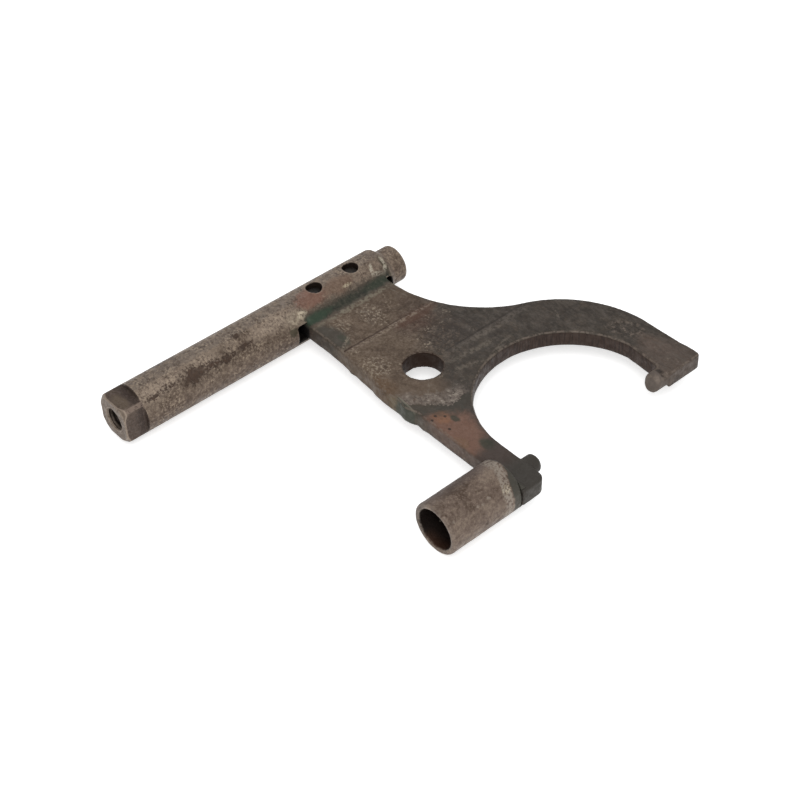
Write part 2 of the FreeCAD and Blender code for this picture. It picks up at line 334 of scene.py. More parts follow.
# %% A material and its nodes
class Nodes:
    """A material whose nodes are made by short calls."""

    def __init__(self, name, metallic, shine):
        self.material = bpy.data.materials.new(name)
        self.material.use_nodes = True
        self.tree = self.material.node_tree
        self.shader = self.tree.nodes["Principled BSDF"]
        self.shader.inputs["Metallic"].default_value = metallic
        self.shader.inputs["Specular IOR Level"].default_value = shine
        self.shader.inputs["Roughness"].default_value = 0.9
        source = self.node("ShaderNodeTexCoord")
        self.place = self.node("ShaderNodeVectorMath", operation="SCALE",
                               Vector=source.outputs["Object"], Scale=1 / MM).outputs[0]
        self.x, self.y, self.z = self.split(self.place)
        self.facing = self.split(source.outputs["Normal"])
        self.sharpness = self.node("ShaderNodeNewGeometry").outputs["Pointiness"]

    def node(self, kind, operation=None, **sockets):
        """A new node, with its sockets fed by their names."""
        made = self.tree.nodes.new(kind)
        if operation:
            made.operation = operation
        for name, value in sockets.items():
            self.feed(made.inputs[name.replace("_", " ")], value)
        return made

    def feed(self, socket, value):
        """Links another node's output to the socket, or sets its plain value."""
        if isinstance(value, bpy.types.NodeSocket):
            self.tree.links.new(value, socket)
        else:
            socket.default_value = value

    def split(self, vector):
        """A vector's three parts."""
        parts = self.node("ShaderNodeSeparateXYZ", Vector=vector)
        return parts.outputs["X"], parts.outputs["Y"], parts.outputs["Z"]

    def calc(self, operation, first, second=0.0, third=0.0):
        """One step of arithmetic."""
        made = self.node("ShaderNodeMath", operation=operation)
        for socket, value in zip(made.inputs, (first, second, third)):
            self.feed(socket, value)
        return made.outputs[0]


def offers(kind):
    """Prints the calls that a class adds."""
    print(f"{kind.__name__} adds", ", ".join(name for name in vars(kind) if name[0] != "_"))


offers(Nodes)

# %% [markdown]
# ## Masks
# A mask is a number at each point of the surface: 1 where a stain is, 0 where it isn't. Any value,
# such as a height, becomes a mask when it is eased from 0 to 1 between two limits. Multiplying two
# masks keeps what they share, and the larger of two keeps either.

# %% Make and join masks
class Blends(Nodes):
    """Values eased into masks, and masks joined."""

    def ease(self, value, start, end):
        """0 at start and before it, 1 at end and beyond, and smooth between them."""
        made = self.node("ShaderNodeMapRange", Value=value, From_Min=start, From_Max=end)
        made.interpolation_type = "SMOOTHSTEP"
        return made.outputs["Result"]

    def both(self, *masks):
        """1 only where every mask is 1."""
        result = masks[0]
        for mask in masks[1:]:
            result = self.calc("MULTIPLY", result, mask)
        return result

    def either(self, *masks):
        """1 where any mask is 1."""
        result = masks[0]
        for mask in masks[1:]:
            result = self.calc("MAXIMUM", result, mask)
        return result

    def between(self, value, start, end, soft):
        """1 from start to end, with borders that fade over soft each way."""
        return self.both(self.ease(value, start - soft, start + soft),
                         self.ease(value, end + soft, end - soft))


offers(Blends)

# %% [markdown]
# ## Noise, patches and lines
# Most stains are patches: a spherical gradient squeezed to an oval, 1 in the middle and 0.5 at its
# border. One cloudy value, the same for all of them, pulls the border in and out, so no stain has a
# smooth outline. Noise cut at two levels gives spots, and an offset from a line gives bands.

# %% Masks from noise and places
class Masks(Blends):
    """Masks that say where something is."""

    def __init__(self, name, metallic, shine):
        super().__init__(name, metallic, shine)
        self.ragged = self.calc("MULTIPLY_ADD", self.noise(3.5, detail=7.0), 0.6,
                                self.calc("MULTIPLY", self.noise(1.1, detail=5.0), 0.4))

    def noise(self, size, detail=4.0, roughness=0.6, stretch=(1.0, 1.0, 1.0)):
        """Cloudy noise about size mm wide, mostly 0.3 to 0.7; stretch lengthens it along an axis."""
        scale = tuple(1 / (size * value) for value in stretch)
        spread = self.node("ShaderNodeMapping", Vector=self.place)
        spread.inputs["Scale"].default_value = scale
        made = self.node("ShaderNodeTexNoise", Vector=spread.outputs[0], Scale=1.0,
                         Detail=detail, Roughness=roughness)
        return made.outputs["Fac"]

    def mottle(self, size, start=0.4, end=0.6, **shape):
        """Noise cut to spots: nothing below start, full above end."""
        return self.ease(self.noise(size, **shape), start, end)

    def from_axis(self, first, second, centre):
        """Distance in mm from an axis that crosses first and second at centre."""
        squares = [self.calc("POWER", self.calc("SUBTRACT", value, at), 2.0)
                   for value, at in zip((first, second), centre)]
        return self.calc("SQRT", self.calc("ADD", *squares))

    def patch(self, centre, size, soft=0.3, ragged=1.5, turn=0.0):
        """1 inside a ragged oval and 0 outside; turn is about Z, in degrees."""
        made = self.node("ShaderNodeMapping", Vector=self.place)
        made.vector_type = "TEXTURE"
        made.inputs["Location"].default_value = centre
        made.inputs["Rotation"].default_value = (0, 0, math.radians(turn))
        made.inputs["Scale"].default_value = tuple(2 * value for value in size)
        ball = self.node("ShaderNodeTexGradient", Vector=made.outputs[0])
        ball.gradient_type = "SPHERICAL"
        edge = self.calc("MULTIPLY_ADD", self.ragged, -ragged / 2, ragged / 4)
        inside = self.calc("ADD", ball.outputs["Fac"], edge)
        return self.ease(inside, (1 - soft) / 2, (1 + soft) / 2)

    def offset(self, start, end, wander=0.0):
        """Seen from above, mm to the left of the line from start to end, made ragged by wander."""
        along = Vector(end) - Vector(start)
        left = Vector((-along.y, along.x)).normalized()
        flat = self.node("ShaderNodeVectorMath", operation="DOT_PRODUCT", Vector=self.place)
        flat.inputs[1].default_value = (left.x, left.y, 0.0)
        off = self.calc("SUBTRACT", flat.outputs["Value"], left.dot(Vector(start)))
        return self.calc("ADD", off, self.calc("MULTIPLY_ADD", self.ragged, wander, -wander / 2))

    def stroke(self, start, end, width, soft=0.4, ragged=1.2):
        """A thin patch that runs from start to end."""
        first, last = Vector(start), Vector(end)
        middle, run = (first + last) / 2, last - first
        turn = math.degrees(math.atan2(run.y, run.x))
        return self.patch(middle, (run.length / 2, width, 2.5 + abs(run.z)), soft, ragged, turn)


offers(Masks)

# %% [markdown]
# ## Layers
# The finish starts from one colour, and each layer is mixed over what is there, like thin paint.
# Bumps tilt the light where detail is too small for the mesh, and the gloss mask says where years
# of oil and rubbing have left the steel shinier. Blender's Mix node has sockets for every kind of
# value, with the same names, so the ones for colours are found by number.

# %% Layers, bumps and gloss
MIX_BELOW, MIX_ABOVE, MIX_RESULT = 6, 7, 2


class Finish(Masks):
    """A material that is built up by laying patches and noise over a base colour."""

    def base(self, colour):
        """The colour under all layers."""
        self.colour = colour

    def lay(self, colour, mask, strength=1.0):
        """Lays a colour over what is there, where the mask is 1."""
        if strength != 1.0:
            mask = self.calc("MULTIPLY", mask, strength)
        made = self.node("ShaderNodeMix")
        made.data_type = "RGBA"
        self.feed(made.inputs["Factor"], mask)
        self.feed(made.inputs[MIX_BELOW], self.colour)
        self.feed(made.inputs[MIX_ABOVE], colour)
        self.colour = made.outputs[MIX_RESULT]

    def speckle(self, pale, dark, size, strength, where=None, stretch=(1.0, 1.0, 1.0)):
        """Pale specks on the noise's peaks and dark ones in its dips."""
        grain = self.noise(size, detail=5.0, roughness=0.7, stretch=stretch)
        for colour, start, end in [(pale, 0.51, 0.64), (dark, 0.49, 0.36)]:
            specks = self.ease(grain, start, end)
            self.lay(colour, self.both(specks, where) if where else specks, strength)

    def ramp(self, value, *stops):
        """Blends through colours, each given with the place in mm where it is pure."""
        first, last = stops[0][0], stops[-1][0]
        along = self.node("ShaderNodeMapRange", Value=value, From_Min=first, From_Max=last)
        made = self.node("ShaderNodeValToRGB", Fac=along.outputs["Result"])
        elements = made.color_ramp.elements
        for place, colour in stops[1:-1]:
            elements.new((place - first) / (last - first)).color = colour
        elements[0].color = stops[0][1]
        elements[-1].color = stops[-1][1]
        return made.outputs["Color"]

    def bumps(self, height, strength, distance):
        """Adds bumps on top of earlier ones; height 1 stands distance mm above height 0."""
        made = self.node("ShaderNodeBump", Height=height, Strength=strength,
                         Distance=distance * MM)
        if self.shader.inputs["Normal"].is_linked:
            earlier = self.shader.inputs["Normal"].links[0].from_socket
            self.feed(made.inputs["Normal"], earlier)
        self.feed(self.shader.inputs["Normal"], made.outputs["Normal"])

    def gloss(self, value, matt, shiny):
        """Roughness from a mask: matt where it is 0, shiny where it is 1."""
        spread = self.calc("MULTIPLY_ADD", value, shiny - matt, matt)
        self.feed(self.shader.inputs["Roughness"], spread)

    def report(self, what):
        """Says what has been laid so far."""
        print(f"{self.material.name}: {what}, {len(self.tree.nodes)} nodes so far")

    def onto(self, *pieces):
        """Ends the finish and puts it on the pieces."""
        self.feed(self.shader.inputs["Base Color"], self.colour)
        for piece in pieces:
            piece.data.materials.clear()
            piece.data.materials.append(self.material)
        names = ", ".join(piece.name for piece in pieces)
        print(f"{self.material.name}, {len(self.tree.nodes)} nodes, on {names}")


offers(Finish)

# %% [markdown]
# ## What rail, plate and seam share
# Verdigris and flux from the brazing spread past the seam over both neighbours, with painted shade
# in the seam's hollow and a painted highlight at its foot. Laid three times by hand they would drift
# apart, so one function lays them at the same place in each finish, and the colours run on from
# piece to piece.

# %% Verdigris, painted shade and flux along the seam
def brazing_stains(finish):
    """Dark braze with painted shade in the hollow, fading out both ways, green at its near end, with
    pale flux and a painted highlight at its foot.
    """
    upper = finish.both(finish.between(finish.y, 103.0, 156.0, 1.0), finish.ease(finish.z, 1.5, 3.5))
    wander = finish.calc("MULTIPLY_ADD", finish.ragged, 5.0, -2.5)
    off = finish.calc("ADD", finish.x, wander)
    # Dark braze with painted shade: the seam's hollow is laid darker, darkest along its middle.
    shade = finish.both(upper, finish.ease(off, 7.2, 12.0), finish.ease(off, 18.0, 13.6))
    core = finish.both(upper, finish.ease(off, 9.6, 12.0), finish.ease(off, 15.4, 13.0))
    finish.lay(tint(76, 71, 63), shade, 0.8)
    finish.lay(tint(57, 56, 48), core, 0.9)
    finish.speckle(tint(92, 87, 77), tint(42, 42, 38), 1.5, 0.65, where=shade)
    for y, length, strength in [(109, 9.0, 0.7), (128, 6.0, 0.1), (148, 9.0, 0.3)]:
        damp = finish.patch((12.4, y, 6.0), (2.4, length, 2.4), ragged=2.2, soft=0.5)
        finish.lay(tint(54, 74, 58), finish.both(damp, upper), strength)
    # Pale flux along the seam's foot, partly a painted highlight on its toe.
    foot = finish.both(finish.stroke((17.0, 105, 4.6), (16.6, 157, 4.6), 1.6),
                       finish.mottle(2.2, 0.4, 0.56))
    finish.lay(tint(134, 126, 110), foot, 0.75)


print("verdigris and flux ready for three finishes")

# %% [markdown]
# ## Rail
# The rail is turned bar that has gone dull. It has a painted grey sheen along its crest, a painted
# warm beige highlight on its upper side, and painted shade that makes it browner below. The height
# of a point gives crest and underside, patches give the highlight, and speckles at two sizes give
# the worn skin over all of it, with painted glints where the highlight lies.

# %% Rail: dull steel
rail_finish = Finish("Dull mottled rail steel", metallic=0.3, shine=0.25)
rail_finish.base(tint(133, 118, 104))
rail_finish.lay(tint(100, 84, 71), rail_finish.mottle(8.0, 0.38, 0.62), 0.6)
# Painted shade: the rail is laid browner and darker towards its underside.
painted_shade_below = rail_finish.ease(rail_finish.z, 8.0, -1.0)
rail_finish.lay(tint(90, 74, 64), painted_shade_below, 0.65)
# Painted highlight: pale warm beige patches along the rail's upper side.
painted_highlight = rail_finish.either(*[rail_finish.patch((6.6, y, 10.6), (4.0, length, 4.0), soft=0.6)
                                 for y, length in [(22, 19), (46, 7), (88, 13)]])
rail_finish.lay(tint(166, 149, 133), painted_highlight, 0.65)
# Painted sheen: the crest is laid greyer.
painted_sheen_on_crest = rail_finish.ease(rail_finish.z, 11.9, 12.4)
rail_finish.lay(tint(122, 113, 105), painted_sheen_on_crest, 0.45)
# Wear, plus painted glints where this mask takes in the painted highlight: the fine pale specks below
# use it.
wear_and_glints = rail_finish.either(rail_finish.mottle(7.0, 0.42, 0.6), painted_highlight, 0.4)
rail_finish.speckle(tint(154, 137, 120), tint(80, 65, 54), 2.8, 0.55)
rail_finish.speckle(tint(180, 162, 142), tint(58, 46, 38), 1.2, 0.75, where=wear_and_glints)
rail_finish.report("dull steel, painted sheen and highlight")

# %% [markdown]
# ## Rail: pitted rust
# Rust starts at single pits, which grow together into dark areas with a sharp border. Noise alone
# would put it anywhere, so each spot is a ragged oval at its own place, with loose pits around it.
# A finer noise breaks the areas up again, except in the middle of the largest.

# %% Rail: rust spots
pits = rail_finish.mottle(1.3, 0.5, 0.58, detail=5.0)
rust_spots = [((9.0, 39.5, 8.7), (3.4, 6.8, 3.4)), ((9.0, 50, 8.7), (1.5, 5.0, 1.5)),
              ((9.4, 58, 8.2), (1.6, 5.0, 1.6)), ((3.4, 68, 12.0), (1.2, 1.4, 1.2)),
              ((8.5, 69, 9.1), (1.0, 3.6, 1.0)), ((8.4, 25.5, 9.2), (0.9, 3.0, 0.9)),
              ((8.9, 16.7, 8.8), (0.7, 2.6, 0.7)), ((-8.0, 30, 9.0), (3.0, 7.0, 3.0)),
              ((-9.5, 74, -7.0), (3.0, 9.0, 3.0)), ((3.0, 60, -12.0), (4.0, 10.0, 2.5))]
rusted = []
for centre, size in rust_spots:
    wider = tuple(1.2 * value + 1.0 for value in size)
    around = rail_finish.both(rail_finish.patch(centre, wider, soft=0.3), pits)
    area = rail_finish.patch(centre, size, soft=0.15, ragged=4.0)
    rusted.append(rail_finish.either(area, around))
largest_middle = rail_finish.patch((9.0, 39.5, 8.7), (3.0, 6.0, 3.0), soft=0.4)
broken_up = rail_finish.either(largest_middle, rail_finish.mottle(1.4, 0.4, 0.5))
pitted = rail_finish.both(rail_finish.either(*rusted), broken_up)
rail_finish.lay(tint(66, 51, 43), pitted, 0.88)
redder = rail_finish.both(pitted, rail_finish.mottle(1.6, 0.5, 0.6))
rail_finish.lay(tint(88, 68, 55), redder, 0.5)
rail_finish.report(f"{len(rusted)} rust spots")

# %% [markdown]
# ## Rail: primer and crust by the slot
# The brazing flame left its traces where the slot begins: pink primer round the first cross hole,
# paler between the holes, and a rough pale crust along the slot's lip. Each is a patch at its own
# place, broken up by fine noise so that it looks dried on and not painted on.

# %% Rail: primer and crust
primer_by_hole = rail_finish.patch((4.2, 112, 11.6), (5.5, 8.5, 4.0))
rail_finish.lay(tint(132, 98, 84), primer_by_hole, 0.85)
primer_between_holes = rail_finish.patch((5.6, 128, 11.0), (4.5, 8.0, 4.0))
rail_finish.lay(tint(124, 100, 84), primer_between_holes, 0.6)
past_slot_start = rail_finish.ease(rail_finish.y, 102, 106)
rail_finish.speckle(tint(140, 118, 104), tint(92, 74, 64), 1.4, 0.35, where=past_slot_start)
fleck = rail_finish.both(rail_finish.patch((7.5, 132.2, 10.0), (1.0, 2.6, 1.0), ragged=2.5),
                         rail_finish.mottle(0.8, 0.4, 0.56))
rail_finish.lay(tint(192, 178, 152), fleck, 0.85)
rough_crust = rail_finish.patch((1.5, 103.5, 12.3), (5, 7, 3), soft=0.5)
rail_finish.speckle(tint(142, 130, 122), tint(66, 57, 53), 1.5, 0.65, where=rough_crust)
lip = rail_finish.both(rail_finish.patch((9.0, 99.4, 8.4), (3.6, 5.6, 4.4), ragged=2.2, turn=-12),
                       rail_finish.mottle(1.0, 0.38, 0.54, detail=5.0))
rail_finish.lay(tint(160, 146, 128), lip, 0.6)
rail_finish.speckle(tint(196, 182, 162), tint(70, 60, 50), 1.3, 0.6, where=lip)
bright = rail_finish.both(rail_finish.patch((9.0, 102.8, 8.7), (1.8, 2.8, 1.8)),
                          rail_finish.mottle(0.9, 0.42, 0.52))
rail_finish.lay(tint(212, 198, 174), bright, 0.9)
rail_finish.report("primer and crust")

# %% [markdown]
# ## Rail: stains and flux marks
# Flux runs ahead of the braze and dries in thin pale lines. They are strokes from point to point:
# two along the slot's corner, and a bent row near the far end, where the plate's neck stops.

# %% Rail: stains and flux marks
beside_slot = rail_finish.patch((12.0, 95.6, 3.8), (1.8, 2.4, 2.4), ragged=1.6)
rail_finish.lay(tint(76, 72, 56), beside_slot, 0.75)
slot_lip = rail_finish.either(
    rail_finish.stroke((10.9, 94.6, 6.0), (9.8, 99.4, 7.7), 0.9, ragged=2.4),
    rail_finish.stroke((9.8, 98.6, 7.6), (9.4, 105.2, 8.3), 1.0, ragged=2.4))
slot_lip = rail_finish.both(slot_lip, rail_finish.mottle(1.3, 0.42, 0.58, detail=5.0))
rail_finish.lay(tint(182, 168, 146), slot_lip, 0.8)
dark_end = rail_finish.both(rail_finish.between(rail_finish.y, 154.6, 157.6, 0.5),
                            rail_finish.ease(rail_finish.x, 1.0, 6.0))
rail_finish.lay(tint(76, 70, 58), dark_end, 0.8)
flux_bends = [(4.6, 149.8, 11.6), (8.8, 147.2, 8.9), (10.2, 154.0, 7.2), (7.7, 156.4, 9.8),
              (3.0, 156.6, 12.1)]
flux = rail_finish.either(*[rail_finish.stroke(start, end, 0.9, ragged=3.0)
                            for start, end in zip(flux_bends, flux_bends[1:])])
flux = rail_finish.both(flux, rail_finish.mottle(1.1, 0.4, 0.5, detail=5.0))
rail_finish.lay(tint(192, 182, 164), flux, 0.9)
brazing_stains(rail_finish)
rail_finish.report("stains and flux marks")

# %% [markdown]
# ## Rail: the squared end
# The four flats were milled, and oil has dried on them darker than on the bar. The way a point
# faces tells flat from corner and from end face, so no flat has to be picked by hand. The corners
# and the rounded rim of the end face are rubbed pale.

# %% Rail: flats and end face
square_length = 10.8
flats = rail_finish.both(rail_finish.ease(rail_finish.y, square_length + 0.3, square_length - 0.2),
                         rail_finish.ease(rail_finish.facing[1], -0.6, -0.3))
rail_finish.lay(tint(80, 67, 60), flats, 0.85)
ragged_y = rail_finish.calc("ADD", rail_finish.y, rail_finish.ragged)
by_shoulder = rail_finish.both(flats, rail_finish.ease(ragged_y, 5.5, 9.0))
rail_finish.lay(tint(58, 47, 42), by_shoulder, 0.7)
top_flat = rail_finish.both(flats, rail_finish.ease(rail_finish.z, 8.8, 9.4))
tan_spot = rail_finish.both(top_flat, rail_finish.patch((2.0, 3.8, 9.8), (5.5, 3.0, 3.0), ragged=2.0))
rail_finish.lay(tint(104, 90, 75), tan_spot, 0.7)
rail_finish.speckle(tint(112, 97, 88), tint(58, 47, 42), 1.1, 0.4, where=flats)
corner_strip = rail_finish.both(flats, rail_finish.between(rail_finish.facing[0], 0.45, 0.9, 0.1),
                                rail_finish.between(rail_finish.facing[2], 0.45, 0.9, 0.1),
                                rail_finish.mottle(1.3, 0.34, 0.52))
rail_finish.lay(tint(142, 125, 113), corner_strip, 0.8)
tilted = rail_finish.either(rail_finish.between(rail_finish.facing[1], -0.5, -0.15, 0.08),
                            rail_finish.between(rail_finish.facing[1], -0.96, -0.78, 0.04))
rounded_over = rail_finish.both(rail_finish.ease(rail_finish.y, 3.4, 2.6), tilted)
end_face = rail_finish.both(rail_finish.ease(rail_finish.y, 2.2, 1.6),
                            rail_finish.ease(rail_finish.facing[1], -0.5, -0.8))
rail_finish.lay(tint(112, 99, 88), end_face, 0.7)
rubbed_rim = rail_finish.both(rounded_over, rail_finish.mottle(1.4, 0.32, 0.48))
rail_finish.lay(tint(156, 141, 127), rubbed_rim, 0.75)
at_shoulder = rail_finish.between(rail_finish.y, square_length - 1.0, square_length + 0.7, 0.2)
shoulder = rail_finish.both(at_shoulder, rail_finish.ease(rail_finish.facing[1], -0.3, -0.6))
rail_finish.lay(tint(58, 46, 40), shoulder, 0.9)
rail_finish.report("flats and end face")

# %% [markdown]
# ## Rail: edges, holes and slot
# Sharp edges are rubbed pale. The Geometry node's Pointiness finds them on the fine mesh, so they
# needn't be drawn. Holes and slot are darkened with painted shade. The frame tells where they are:
# the pins' boxes give the cross holes, and the thread's mount gives the tapped hole's width.

# %% Rail: edges, holes and slot
past_shoulder = rail_finish.calc("SUBTRACT", rail_finish.y, square_length + 0.2)
away_from_shoulder = rail_finish.ease(rail_finish.calc("ABSOLUTE", past_shoulder), 1.0, 1.8)
edges = rail_finish.both(rail_finish.ease(rail_finish.sharpness, 0.505, 0.55),
                         rail_finish.mottle(1.2, 0.34, 0.5), away_from_shoulder)
rail_finish.lay(tint(162, 146, 131), edges, 0.7)
from_rail_axis = rail_finish.from_axis(rail_finish.x, rail_finish.z, (0, 0))
thread_crest = thread_core + thread_depth
# Painted shade: the tapped hole's wall is laid near black.
tapped = rail_finish.both(rail_finish.ease(from_rail_axis, thread_crest + 0.45, thread_crest + 0.05),
                          rail_finish.ease(rail_finish.y, 30, 28),
                          rail_finish.ease(rail_finish.y, -1.0, 4.0))
rail_finish.lay(tint(38, 31, 26), tapped, 0.95)
# Painted shade: each cross hole's wall is laid near black.
for node in ("near_cross_pin", "far_cross_pin"):
    pin_low, pin_high = box_of(node)
    pin_y = (pin_low[1] + pin_high[1]) / 2
    pin_radius = (pin_high[0] - pin_low[0]) / 2
    from_pin = rail_finish.from_axis(rail_finish.x, rail_finish.y, (0, pin_y))
    painted_shade_in_cross_hole = rail_finish.ease(from_pin, pin_radius + 0.35, pin_radius)
    rail_finish.lay(tint(34, 24, 20), painted_shade_in_cross_hole, 0.95)
# Painted shadow: the slot's walls are laid black.
slot = rail_finish.both(rail_finish.between(rail_finish.z, -5.6, 4.4, 0.3),
                        rail_finish.between(rail_finish.y, 97.8, 158.0, 0.3),
                        rail_finish.ease(rail_finish.x, -7.0, -6.4))
rail_finish.lay(tint(12, 11, 12), slot, 0.95)
rail_finish.bumps(rail_finish.noise(1.2, detail=6.0), 0.8, 0.4)
rail_finish.bumps(rail_finish.calc("SUBTRACT", 1.0, pitted), 0.8, 0.25)
rail_finish.gloss(rail_finish.mottle(2.5), 0.6, 0.4)
rail_finish.onto(rail)

# %% [markdown]
# ## Fork plate
# The plate is tan near the rail and dark grey, a little green, along the upper arm. Below the hole
# a grey crust ends in a ragged border, and pink primer shows on the lower tine. Two scribed lines
# cross the plate, and its cut walls keep a red-brown skin. The large areas come first. Those that
# colour both faces are wide patches centred in the plate's thickness, and what lies on the top face
# alone is centred at its height, given as top.

# %% Plate: large areas
plate_finish = Finish("Dark oxidised plate", metallic=0.2, shine=0.22)
top = 4.5
plate_finish.base(tint(70, 64, 58))
plate_finish.lay(tint(62, 57, 53), plate_finish.mottle(9.0, 0.38, 0.62), 0.5)
plate_finish.lay(tint(88, 80, 73), plate_finish.mottle(5.0, 0.52, 0.66, stretch=(1.8, 1, 1)), 0.4)
tan = plate_finish.either(*[
    plate_finish.patch(centre, size, soft=0.4, ragged=1.0)
    for centre, size in [((26, 130, 0), (21, 33, 20)), ((50, 116, 0), (23, 25, 20)),
                         ((66, 106, 0), (25, 18, 20)), ((86, 112, 0), (12, 12, 20))]])
plate_finish.lay(tint(104, 88, 74), tan, 0.9)
stains = [((48, 146, 4), (12, 12, 12), (80, 67, 59)), ((45, 142, top), (7, 9, 4), (86, 63, 54)),
          ((63, 148, 4), (8, 16, 8), (66, 59, 55)), ((70, 101, 2), (9, 5, 8), (104, 80, 58)),
          ((26, 120, top), (8, 5, 4), (112, 95, 80)), ((34, 150, top), (7, 5, 4), (84, 68, 58)),
          ((52, 104, top), (10, 4, 4), (110, 94, 78)), ((134, 212, 3), (9, 5, 8), (106, 90, 80)),
          ((148, 208, 3), (17, 15, 9), (103, 89, 81))]
for centre, size, colour in stains:
    plate_finish.lay(tint(*colour), plate_finish.patch(centre, size, soft=0.5), 0.65)
plate_finish.report("large areas")

# %% [markdown]
# ## Plate: specks and streaks
# Scale has come off in specks of every size. One noise with much detail would look the same all
# over, so three sizes are laid one after another on the brown side, and two on the arm, stretched
# in the direction in which its marks run. A few pale streaks lie where they show most.

# %% Plate: specks and streaks
brown_side = plate_finish.either(plate_finish.patch((45, 120, 0), (40, 38, 20), soft=0.4), 0.3)
plate_finish.speckle(tint(118, 102, 87), tint(76, 63, 54), 8.0, 0.5, where=brown_side)
plate_finish.speckle(tint(118, 102, 87), tint(72, 59, 50), 3.0, 0.45, where=brown_side)
plate_finish.speckle(tint(132, 117, 101), tint(60, 49, 42), 1.2, 0.42, where=brown_side)
arm = plate_finish.ease(plate_finish.y, 140, 165)
plate_finish.speckle(tint(92, 84, 77), tint(56, 50, 45), 5.0, 0.5, where=arm, stretch=(2.2, 1, 1))
plate_finish.speckle(tint(104, 96, 88), tint(52, 46, 42), 1.4, 0.3, where=arm, stretch=(2.5, 1, 1))
rubbed = plate_finish.patch((118, 211, top), (9, 6, 3), ragged=1.6, turn=30)
plate_finish.speckle(tint(124, 111, 100), tint(56, 48, 43), 2.4, 0.75, where=rubbed)
flecked = plate_finish.either(
    plate_finish.patch((27, 131, top), (9, 6, 4)), plate_finish.patch((24, 114, top), (5, 6, 4)),
    plate_finish.patch((58, 106, top), (8, 8, 4)), plate_finish.mottle(10.0, 0.6, 0.66))
flecks = plate_finish.both(plate_finish.mottle(1.5, 0.51, 0.59, detail=5.0, roughness=0.7), flecked,
                           brown_side)
plate_finish.lay(tint(162, 148, 130), flecks, 0.7)
streaks = plate_finish.either(*[
    plate_finish.stroke((*start, top), (*end, top), width, ragged=2.0)
    for start, end, width in [((79, 136), (82, 165), 1.7), ((84, 132), (89, 147), 1.4),
                              ((84, 168), (90, 148), 1.2), ((74, 154), (76, 172), 1.4),
                              ((82, 117.6), (97, 115.3), 0.7), ((20, 126), (27.5, 133), 0.9),
                              ((78, 123), (89, 111), 0.6), ((18.6, 149.6), (30.6, 153.2), 0.6),
                              ((85, 196.5), (91.5, 193.5), 0.7)]])
streaks = plate_finish.both(streaks, plate_finish.mottle(1.8, 0.4, 0.62))
plate_finish.lay(tint(126, 116, 104), streaks, 0.5)
plate_finish.report("specks and streaks")

# %% [markdown]
# ## Plate: the smooth zone by the corner
# Beside the rail, near the plate's corner, one area has stayed smooth and is a little green, with a
# pale dried rim. Two soft patches hide the specks below them, and two strokes follow the rim.

# %% Plate: smooth zone by the corner
plate_finish.lay(tint(76, 71, 64), plate_finish.patch((27, 105, 3), (11.5, 7.0, 6), ragged=1.0), 0.9)
plate_finish.lay(tint(72, 74, 63), plate_finish.patch((32.5, 109, top), (4, 2, 3)), 0.6)
zone_rim = plate_finish.either(*[
    plate_finish.stroke((*start, top), (*end, top), 0.9, ragged=2.0)
    for start, end in [((32, 113), (36.8, 105)), ((36.4, 106), (41.5, 98.5))]])
zone_rim = plate_finish.both(zone_rim, plate_finish.mottle(1.3, 0.42, 0.56))
plate_finish.lay(tint(150, 138, 122), zone_rim, 0.7)
plate_finish.report("smooth zone")

# %% [markdown]
# ## Plate: where crust, band and primer meet
# Below the hole the grey crust stops at a ragged border, then comes a dark band, then the primer.
# All three follow the same border. It is two lines that wander with the noise, and the smaller of
# the two distances says how far inside the crust a point lies.

# %% Plate: three masks from one border
inside_crust = plate_finish.calc(
    "MINIMUM", plate_finish.offset((89.6, 102.6), (100.5, 114.6), wander=11.0),
    plate_finish.offset((100.6, 115.5), (99.2, 127.0), wander=11.0))
by_crust = plate_finish.both(plate_finish.patch((95, 114, top), (22, 20, 8), ragged=0.5),
                             plate_finish.ease(plate_finish.y, 129, 124))
crust = plate_finish.both(by_crust, plate_finish.ease(inside_crust, -0.2, 0.3),
                          plate_finish.ease(inside_crust, 10.0, 4.0),
                          plate_finish.mottle(2.2, 0.34, 0.48, detail=6.0))
below_crust = plate_finish.both(by_crust, plate_finish.ease(inside_crust, 0.2, -0.4),
                                plate_finish.ease(inside_crust, -9.0, -4.0))
primer = plate_finish.both(
    plate_finish.patch((115, 104.5, 3), (18.5, 11, 7), turn=-14, ragged=1.0, soft=0.3),
    plate_finish.ease(inside_crust, -2.6, -5.5))
plate_finish.report("masks for crust, band and primer")

# %% [markdown]
# ## Plate: crust and primer
# The masks from the last step now get their colours. The primer is thin: it is more orange at one
# end, and has small dark dots and two green spots. Round it the tine is smoky, and it gets darker
# towards its end.

# %% Plate: lay crust and primer
smoky = plate_finish.patch((122, 111, 3), (32, 16, 9), turn=-20)
plate_finish.lay(tint(74, 66, 61), smoky, 0.6)
plate_finish.lay(tint(124, 94, 80), primer, 0.92)
orange_end = plate_finish.both(primer, plate_finish.patch((103.5, 106, top), (5, 3.5, 3)))
plate_finish.lay(tint(136, 97, 72), orange_end, 0.7)
thin_primer = plate_finish.both(primer, plate_finish.patch((122, 101, top), (4, 3, 3)))
plate_finish.lay(tint(122, 97, 76), thin_primer, 0.5)
plate_finish.speckle(tint(128, 103, 90), tint(84, 66, 57), 1.6, 0.35, where=primer)
dots = plate_finish.either(*[
    plate_finish.patch((x, y, top), (0.8, 0.7, 3.0), ragged=1.0)
    for x, y in [(101.5, 104.6), (104.5, 107.6), (102.6, 101.6), (112, 103.5)]])
plate_finish.lay(tint(48, 38, 34), dots, 0.85)
plate_finish.lay(tint(72, 68, 61), below_crust, 0.75)
plate_finish.lay(tint(124, 113, 104), crust, 0.85)
plate_finish.speckle(tint(166, 155, 143), tint(78, 69, 62), 1.8, 0.75, where=crust)
